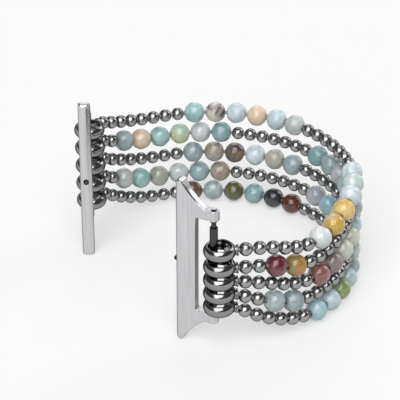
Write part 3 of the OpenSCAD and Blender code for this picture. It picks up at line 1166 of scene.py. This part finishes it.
@dataclass
class EndFittings:
    """What sits at one end of the band: adapter, catch, spring bar and five bail rings."""

    side: Side
    lathe: Lathe
    winder: CoilWinder
    bar: Triple  # middle of the spring bar
    lug_turn: float  # direction of the lug in plan, in degrees
    ring_turn: float  # direction of the strands where they leave the rings
    crease: float = 40
    arc_steps: int = 9
    # Bail rings, and the eyelets that the cords leave through
    ring_outer: float = 5.6
    ring_bore: float = 4.0
    ring_offset: float = 1.0
    ring_lip: float = 0.16
    ring_steps: int = 20
    ring_flats: int = 96
    ring_crease: float = 50
    eyelet_outer: float = 2.0
    eyelet_bore: float = 1.0
    eyelet_length: float = 0.4
    eyelet_root: float = 0.35  # how far it reaches into the ring's wall
    eyelet_neck: float = 0.14  # how far its neck lies inside its rim
    eyelet_roll: float = 0.19
    eyelet_break: float = 0.1
    # Spring bar: tube, tips and coil
    tube_half: float = 7.75
    tube_radius: float = 0.7
    tube_bore: float = 0.51
    tube_roll: tuple[Pair, ...] = ((0.08, 0.0), (0.02, 0.03), (0.0, 0.1))
    tube_mouth: float = 0.3  # length of the narrow mouth
    tube_play: float = 0.04
    tube_flats: int = 48
    tip_radius: float = 0.42
    tip_head: Triple = (6.4, 7.4, 0.48)  # bottom, top and radius
    tip_flange: Triple = (8.85, 9.1, 0.65)
    tip_end: float = 10.1
    tip_chamfer: float = 0.12
    tip_break: float = 0.04
    pin_flats: int = 40
    edge_break: float = 0.05
    spring_wire: float = 0.16
    bar_coil: tuple[float, float, int] = (0.9, 6.35, 14)  # outer diameter, half length, turns
    tip_travel: float = 1.0
    # Catch: pin and coil
    catch_shoulder: Triple = (6.01, 6.51, 0.625)  # back, front and radius
    catch_radius: float = 0.45
    catch_straight: float = 6.9
    catch_coil: tuple[float, float, float, int] = (1.21, 4.1, 5.96, 5)  # diameter, ends, turns
    catch_travel: float = 0.5
    # Adapter
    voxel: float = 0.1
    polish: float = 0.5
    edge_rounds: int = 4  # rounds of polishing that all edges get
    horn_rounds: int = 26  # and the lug's ends
    horn_start: float = 11.3  # above and below the middle
    horn_blend: float = 1.5
    neck_reach: float = 3.6
    arm_brush: float = 0.35

    def named(self, title: str) -> str:
        """Gives the name of this end's node or joint of that title."""
        return f"{self.side.value}_{title}"

    def frame_of_bar(self) -> Matrix:
        """Gives the place of the bar's middle, with the frame's own directions."""
        return Matrix.Translation(Vector(self.bar) * MM)

    def frame_of_lug(self) -> Matrix:
        """Gives the place of the bar's middle, with X along the lug and Z along the bar."""
        return self.frame_of_bar() @ Matrix.Rotation(math.radians(self.lug_turn), 4, "Z")

    def frame_of_catch(self) -> Matrix:
        """Gives the place of the bar's middle, with Z along the lug."""
        return self.frame_of_lug() @ Matrix.Rotation(math.pi / 2, 4, "Y")

    def build(self, steels: Steels) -> None:
        """Makes all the pieces of this end.

        Args:
            steels: The steels of the pieces.
        """
        self.adapter(steels.adapter)
        self.catch(steels.bar)
        self.spring_bar(steels.bar)
        for strand in STONES:
            self.ring(strand, steels.ring)
        self.springs(steels.spring)

    def adapter(self, steel: Material) -> None:
        """Makes the adapter: the CAD form with polished-over edges and rounder lug ends.

        Args:
            steel: Material of the adapter.
        """
        name = self.named("adapter")
        corners, triangles = welded(frame["nodes"][name].data)
        place = self.frame_of_lug()
        mesh = mesh_of(name, [Vector(corner) for corner in corners], faces=triangles.tolist())
        mesh.transform(place.inverted())
        blank = placed(name + "_blank", mesh)
        remesh = blank.modifiers.new("even", "REMESH")
        remesh.mode = "VOXEL"
        remesh.voxel_size = self.voxel * MM
        made = baked(name, blank)
        points = rows_of(made.vertices, "co", 3, np.float32).astype(float)
        edges = rows_of(made.edges, "vertices", 2, np.int32)
        degree = np.bincount(edges.ravel(), minlength=len(points))[:, None]
        out = (np.abs(points[:, 2]) / MM - self.horn_start) / self.horn_blend
        horn = np.clip(out, 0, 1)[:, None]
        for step in range(self.horn_rounds):
            sums = np.zeros_like(points)
            np.add.at(sums, edges[:, 0], points[edges[:, 1]])
            np.add.at(sums, edges[:, 1], points[edges[:, 0]])
            share = self.polish if step < self.edge_rounds else self.polish * horn
            points += share * (sums / degree - points)
        made.vertices.foreach_set("co", points.astype(np.float32).ravel())
        # The arms are brushed fully, the lug less, and its ends not at all
        arm = np.clip(self.neck_reach + 1 - points[:, 0] / MM, 0, 1)
        brush = (self.arm_brush + (1 - self.arm_brush) * arm) * (1 - horn[:, 0])
        set_attribute(made, "brush", "FLOAT", brush)
        made.transform(place)
        made.materials.clear()
        made.materials.append(steel)
        made.shade_smooth()
        made.update()
        add_piece(name + "_cast", made, "adapter_steel", name)

    def turned(self, name: str, section: list[Pair], steel: Material, place: Matrix,
               closed: bool = False) -> None:
        """Turns one piece of the bar or the catch.

        Args:
            name: Name of the CAD node that it stands for.
            section: Radius and height of each corner, from the bottom up along the outside.
            steel: Its material.
            place: Its place.
            closed: Whether it is a tube, or solid.
        """
        flats = self.tube_flats if closed else self.pin_flats
        made = joined(name, [self.lathe.turn(name, section, steel, flats, closed)], self.crease)
        made.transform(place)
        add_piece(name + "_turned", made, "bar_steel", name)

    def catch(self, steel: Material) -> None:
        """Makes the sprung catch pin, with its shoulder and round nose, along the lug.

        Args:
            steel: Material of the pin.
        """
        low, high, wide = self.catch_shoulder
        thin, edge = self.catch_radius, self.edge_break
        section = [(0, low), (wide - edge, low), (wide, low + edge), (wide, high - edge),
                   (wide - edge, high), (thin, high)]
        section += arc((0, self.catch_straight), thin, 0, math.pi / 2, self.arc_steps)
        self.turned(self.named("catch_pin"), section, steel, self.frame_of_catch())

    def spring_bar(self, steel: Material) -> None:
        """Makes the tube with its rolled-in mouths and the two sliding tips.

        Args:
            steel: Material of the tube and the tips.
        """
        half, wide, bore, tip = self.tube_half, self.tube_radius, self.tube_bore, self.tip_radius
        mouth, inner = tip + self.tube_play, half - self.tube_mouth
        roll = [(wide - inwards, half - down) for inwards, down in self.tube_roll]
        section = [(mouth, -half), *((r, -z) for r, z in roll), *reversed(roll), (mouth, half),
                   (mouth, inner), (bore, inner), (bore, -inner), (mouth, -inner)]
        place = self.frame_of_bar()
        self.turned(self.named("bar_tube"), section, steel, place, closed=True)
        low, high, head = self.tip_head
        seat, top, flange = self.tip_flange
        thin, edge, end, slope = self.tip_break, self.edge_break, self.tip_end, self.tip_chamfer
        section = [(0, low), (head - thin, low), (head, low + thin), (head, high), (tip, high),
                   (tip, seat), (flange - thin, seat), (flange, seat + edge),
                   (flange, top - edge), (flange - thin, top), (tip, top), (tip, end - slope),
                   (tip - slope, end), (0, end)]
        for title, flip in (("upper", 0), ("lower", math.pi)):
            self.turned(self.named(title + "_tip"), section, steel,
                        place @ Matrix.Rotation(flip, 4, "X"))

    def ring(self, strand: int, steel: Material) -> None:
        """Makes one bail ring with the rolled eyelet that its cord leaves through.

        Args:
            strand: Number of the strand that the ring ends.
            steel: Material of the ring.
        """
        name = self.named(f"ring_{strand}")
        bore, outer = self.ring_bore / 2, self.ring_outer / 2
        section = rounded_section(bore, outer - bore, RING_HEIGHT, self.ring_lip,
                                  self.ring_steps)
        band = self.lathe.turn(name, section, steel, self.ring_flats)
        rim, hole, roll = self.eyelet_outer / 2, self.eyelet_bore / 2, self.eyelet_roll
        root, end = bore + self.eyelet_root, outer + self.eyelet_length
        neck = rim - self.eyelet_neck
        section = [(hole, root), (neck, root), (neck, end - 2 * roll)]
        section += arc((rim - roll, end - roll), roll, -math.pi / 3, math.pi / 2, self.arc_steps)
        section += [(hole + self.eyelet_break, end), (hole, end - self.eyelet_break)]
        eyelet = self.lathe.turn(name + "_eyelet", section, steel, self.pin_flats)
        eyelet.transform(Matrix.Translation((0, 0, -self.side.exit_drop(strand) * MM))
                         @ Matrix.Rotation(math.pi / 2, 4, "Y"))
        made = joined(name, [band, eyelet], self.ring_crease)
        x, y, _ = self.bar
        made.transform(Matrix.Translation(Vector((x, y, self.side.ring_middle(strand))) * MM)
                       @ Matrix.Rotation(math.radians(self.ring_turn), 4, "Z")
                       @ Matrix.Translation((self.ring_offset * MM, 0, 0)))
        add_piece(name + "_turned", made, "ring_steel", name)

    def springs(self, steel: Material) -> None:
        """Winds the bar's spring, in a half for each tip that presses it, and the catch's.

        Args:
            steel: Material of the wire.
        """
        wire = self.spring_wire
        outer, half, turns = self.bar_coil
        reach, place = half - wire / 2, self.frame_of_bar()
        for title, base in (("upper", 0.0), ("lower", -reach)):
            self.spring("bar", "_" + title, f"{title}_tip_press", place, 0,
                        1 - self.tip_travel / half, (base, reach, outer, wire, turns / 2), steel)
        outer, back, front, turns = self.catch_coil
        self.spring("catch", "_wound", "catch_press", self.frame_of_catch(), back,
                    1 - self.catch_travel / (front - back),
                    (back + wire / 2, front - back - wire, outer, wire, turns), steel)

    def spring(self, owner: str, ending: str, joint: str, place: Matrix, anchor: float,
               keep: float, coil: tuple[float, ...], steel: Material) -> None:
        """Winds one spring.

        Args:
            owner: What the spring belongs to, bar or catch.
            ending: How the piece's name ends.
            joint: The joint that presses it, without the side.
            place: Its place, with Z along it.
            anchor: Where along it the end that stays put is; not used.
            keep: The share of its length that is left at the joint's limit; not used.
            coil: Base, height, outer diameter, wire diameter and turns.
            steel: Material of the wire.
        """
        name = self.named(owner + "_spring")
        made = self.winder.wind(name + ending, *coil, steel)
        made.transform(place)
        piece = add_piece(name + ending, made, "spring_steel", name)
        self.named(joint)
        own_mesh(piece)


@dataclass(frozen=True)
class SoftBox:
    """A round soft box far away: its direction, how wide it is, and how bright."""

    place: Triple
    reach: Pair  # degrees from its middle at which it is fully lit, and dark
    light: float

    def direction(self) -> Vector:
        """Gives the direction of its middle, as a vector of length 1."""
        return Vector(self.place).normalized()

    def edges(self) -> Pair:
        """Gives the cosines of the two angles of its reach."""
        lit, dark = self.reach
        return math.cos(math.radians(lit)), math.cos(math.radians(dark))


@dataclass
class Studio:
    """Floor, light and camera round the band."""

    azimuth: float = 32.85
    elevation: float = 29.8
    distance: float = 332.7
    focus: float = 1800.0  # in pixels of the picture
    picture: int = 400  # pixels
    sensor: float = 36.0
    target: Triple = (-3.54, 5.86, 11.0)
    floor_half: float = 3.0  # metres
    floor_colour: str = "#b8b8b7"
    floor_shine: str = "#fdfdfc"
    floor_light: float = 0.48
    room_colour: str = "#fcfdff"
    backdrop_light: float = 0.9
    lamp_place: Triple = (-1.15, -0.75, 0.6)  # metres
    lamp_aim: Triple = (0.0, 0.0, 0.01)
    lamp_size: float = 0.7
    lamp_power: float = 2.5  # watts
    soft_boxes: tuple[SoftBox, ...] = (
        SoftBox((-0.1, -0.02, 1.0), (22.0, 32.0), 0.85),
        SoftBox((-0.42, -0.47, 0.8), (25.0, 29.0), 3.2),
        SoftBox((0.88, 0.08, 0.46), (11.0, 20.0), 2.4),
        SoftBox((0.5, 0.7, 0.58), (14.0, 22.0), 1.7),
    )

    def build(self) -> None:
        """Makes the floor, the room, the lamp and the camera."""
        self.floor()
        self.world()
        self.lamp()
        self.camera()

    def floor(self) -> None:
        """Makes the plain pale floor."""
        half = self.floor_half
        mesh = mesh_of("floor", [(-half, -half, 0), (half, -half, 0), (half, half, 0),
                                 (-half, half, 0)], faces=[(0, 1, 2, 3)])
        made = bpy.data.materials.new("lit_paper")
        made.use_nodes = True
        add = partial(add_node, made.node_tree)
        shine = add("ShaderNodeMath", {0: self.seen(add), 1: self.floor_light},
                    operation="MULTIPLY")
        feed(made.node_tree.nodes["Principled BSDF"], {
            "Base Color": linear(self.floor_colour), "Roughness": 0.9,
            "Specular IOR Level": 0.1, "Emission Color": linear(self.floor_shine),
            "Emission Strength": shine})
        mesh.materials.append(made)
        placed("floor", mesh)

    def world(self) -> None:
        """Makes the room: a pale backdrop at eye level, a dim ceiling, and the soft boxes."""
        world = bpy.data.worlds.new("studio")
        bpy.context.scene.world = world
        world.use_nodes = True
        add = partial(add_node, world.node_tree)
        place = add("ShaderNodeTexCoord", out="Generated")
        height = add("ShaderNodeSeparateXYZ", {0: place}, out="Z")
        lit = add("ShaderNodeMapRange", {
            "Value": height, "From Min": 0.15, "From Max": 0.9, "To Min": 0.04, "To Max": 0.16})
        for soft_box in self.soft_boxes:
            toward = add("ShaderNodeVectorMath", {0: place, 1: soft_box.direction()},
                         out="Value", operation="DOT_PRODUCT")
            bright, dark = soft_box.edges()
            part = add("ShaderNodeMapRange", {
                "Value": toward, "From Min": dark, "From Max": bright,
                "To Min": 0.0, "To Max": soft_box.light}, interpolation_type="SMOOTHSTEP")
            lit = add("ShaderNodeMath", {0: part, 1: lit}, operation="ADD")
        sweep = add("ShaderNodeMapRange", {
            "Value": height, "From Min": 0.11, "From Max": 0.26,
            "To Min": self.backdrop_light, "To Max": 0.0}, interpolation_type="SMOOTHSTEP")
        shown = add("ShaderNodeMath", {0: self.seen(add), 1: sweep}, operation="MULTIPLY")
        total = add("ShaderNodeMath", {0: lit, 1: shown}, operation="MAXIMUM")
        feed(world.node_tree.nodes["Background"], {
            "Color": linear(self.room_colour), "Strength": total})

    def seen(self, add: Adder) -> NodeSocket:
        """Tells what is looked at from what only lights.

        Args:
            add: Adds a node to the tree.

        Returns:
            1 for what the eye, a mirror or a clear body shows, and 0 for the rest.
        """
        path = add("ShaderNodeLightPath").node.outputs
        eye = add("ShaderNodeMath", {0: path["Is Camera Ray"], 1: path["Is Glossy Ray"]},
                  operation="MAXIMUM")
        return add("ShaderNodeMath", {0: eye, 1: path["Is Transmission Ray"]},
                   operation="MAXIMUM")

    def lamp(self) -> None:
        """Adds the square soft box in front of the band."""
        data = bpy.data.lights.new("front", "AREA")
        data.size, data.energy = self.lamp_size, self.lamp_power
        lamp = placed("front", data)
        lamp.location = self.lamp_place
        aim = Vector(self.lamp_aim) - Vector(self.lamp_place)
        lamp.rotation_euler = aim.to_track_quat("-Z", "Y").to_euler()

    def camera(self) -> None:
        """Sets the camera at the picture's viewing angle."""
        az, el = math.radians(self.azimuth), math.radians(self.elevation)
        ahead = Vector((math.sin(az) * math.cos(el), math.cos(az) * math.cos(el), -math.sin(el)))
        data = bpy.data.cameras.new("camera")
        data.sensor_fit, data.sensor_width = "HORIZONTAL", self.sensor
        data.lens = self.sensor * self.focus / self.picture
        data.clip_start, data.clip_end = 0.01, 20
        camera = placed("camera", data)
        camera.location = Vector(self.target) * MM - ahead * self.distance * MM
        camera.rotation_euler = ahead.to_track_quat("-Z", "Y").to_euler()
        bpy.context.scene.camera = camera


def main() -> None:
    """Builds the band from its beads to its adapters, then the studio."""
    logging.basicConfig(level=logging.INFO, format="%(name)s: %(message)s")
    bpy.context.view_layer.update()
    bpy.context.scene.view_settings.view_transform = "Standard"
    loop = Loop()
    beads = BeadStrands(loop)
    beads.build(BALL_STEEL.material(), StoneFinish().material())
    ElasticCords(loop, beads.strands).build(ElasticFinish().material())
    steels = Steels(ring=RING_STEEL.material(), bar=BAR_STEEL.material(),
                    spring=WIRE_STEEL.material(), adapter=AdapterSteel().material())
    lathe, winder = Lathe(), CoilWinder()
    for side, turn in ((Side.NEAR, -1), (Side.FAR, 1)):
        EndFittings(side, lathe, winder, bar=(-18.3896, 21.3685 * turn, loop.middle),
                    lug_turn=-122.0 * turn, ring_turn=27.694 * turn).build(steels)
    Studio().build()


if __name__ == "__main__":
    main()
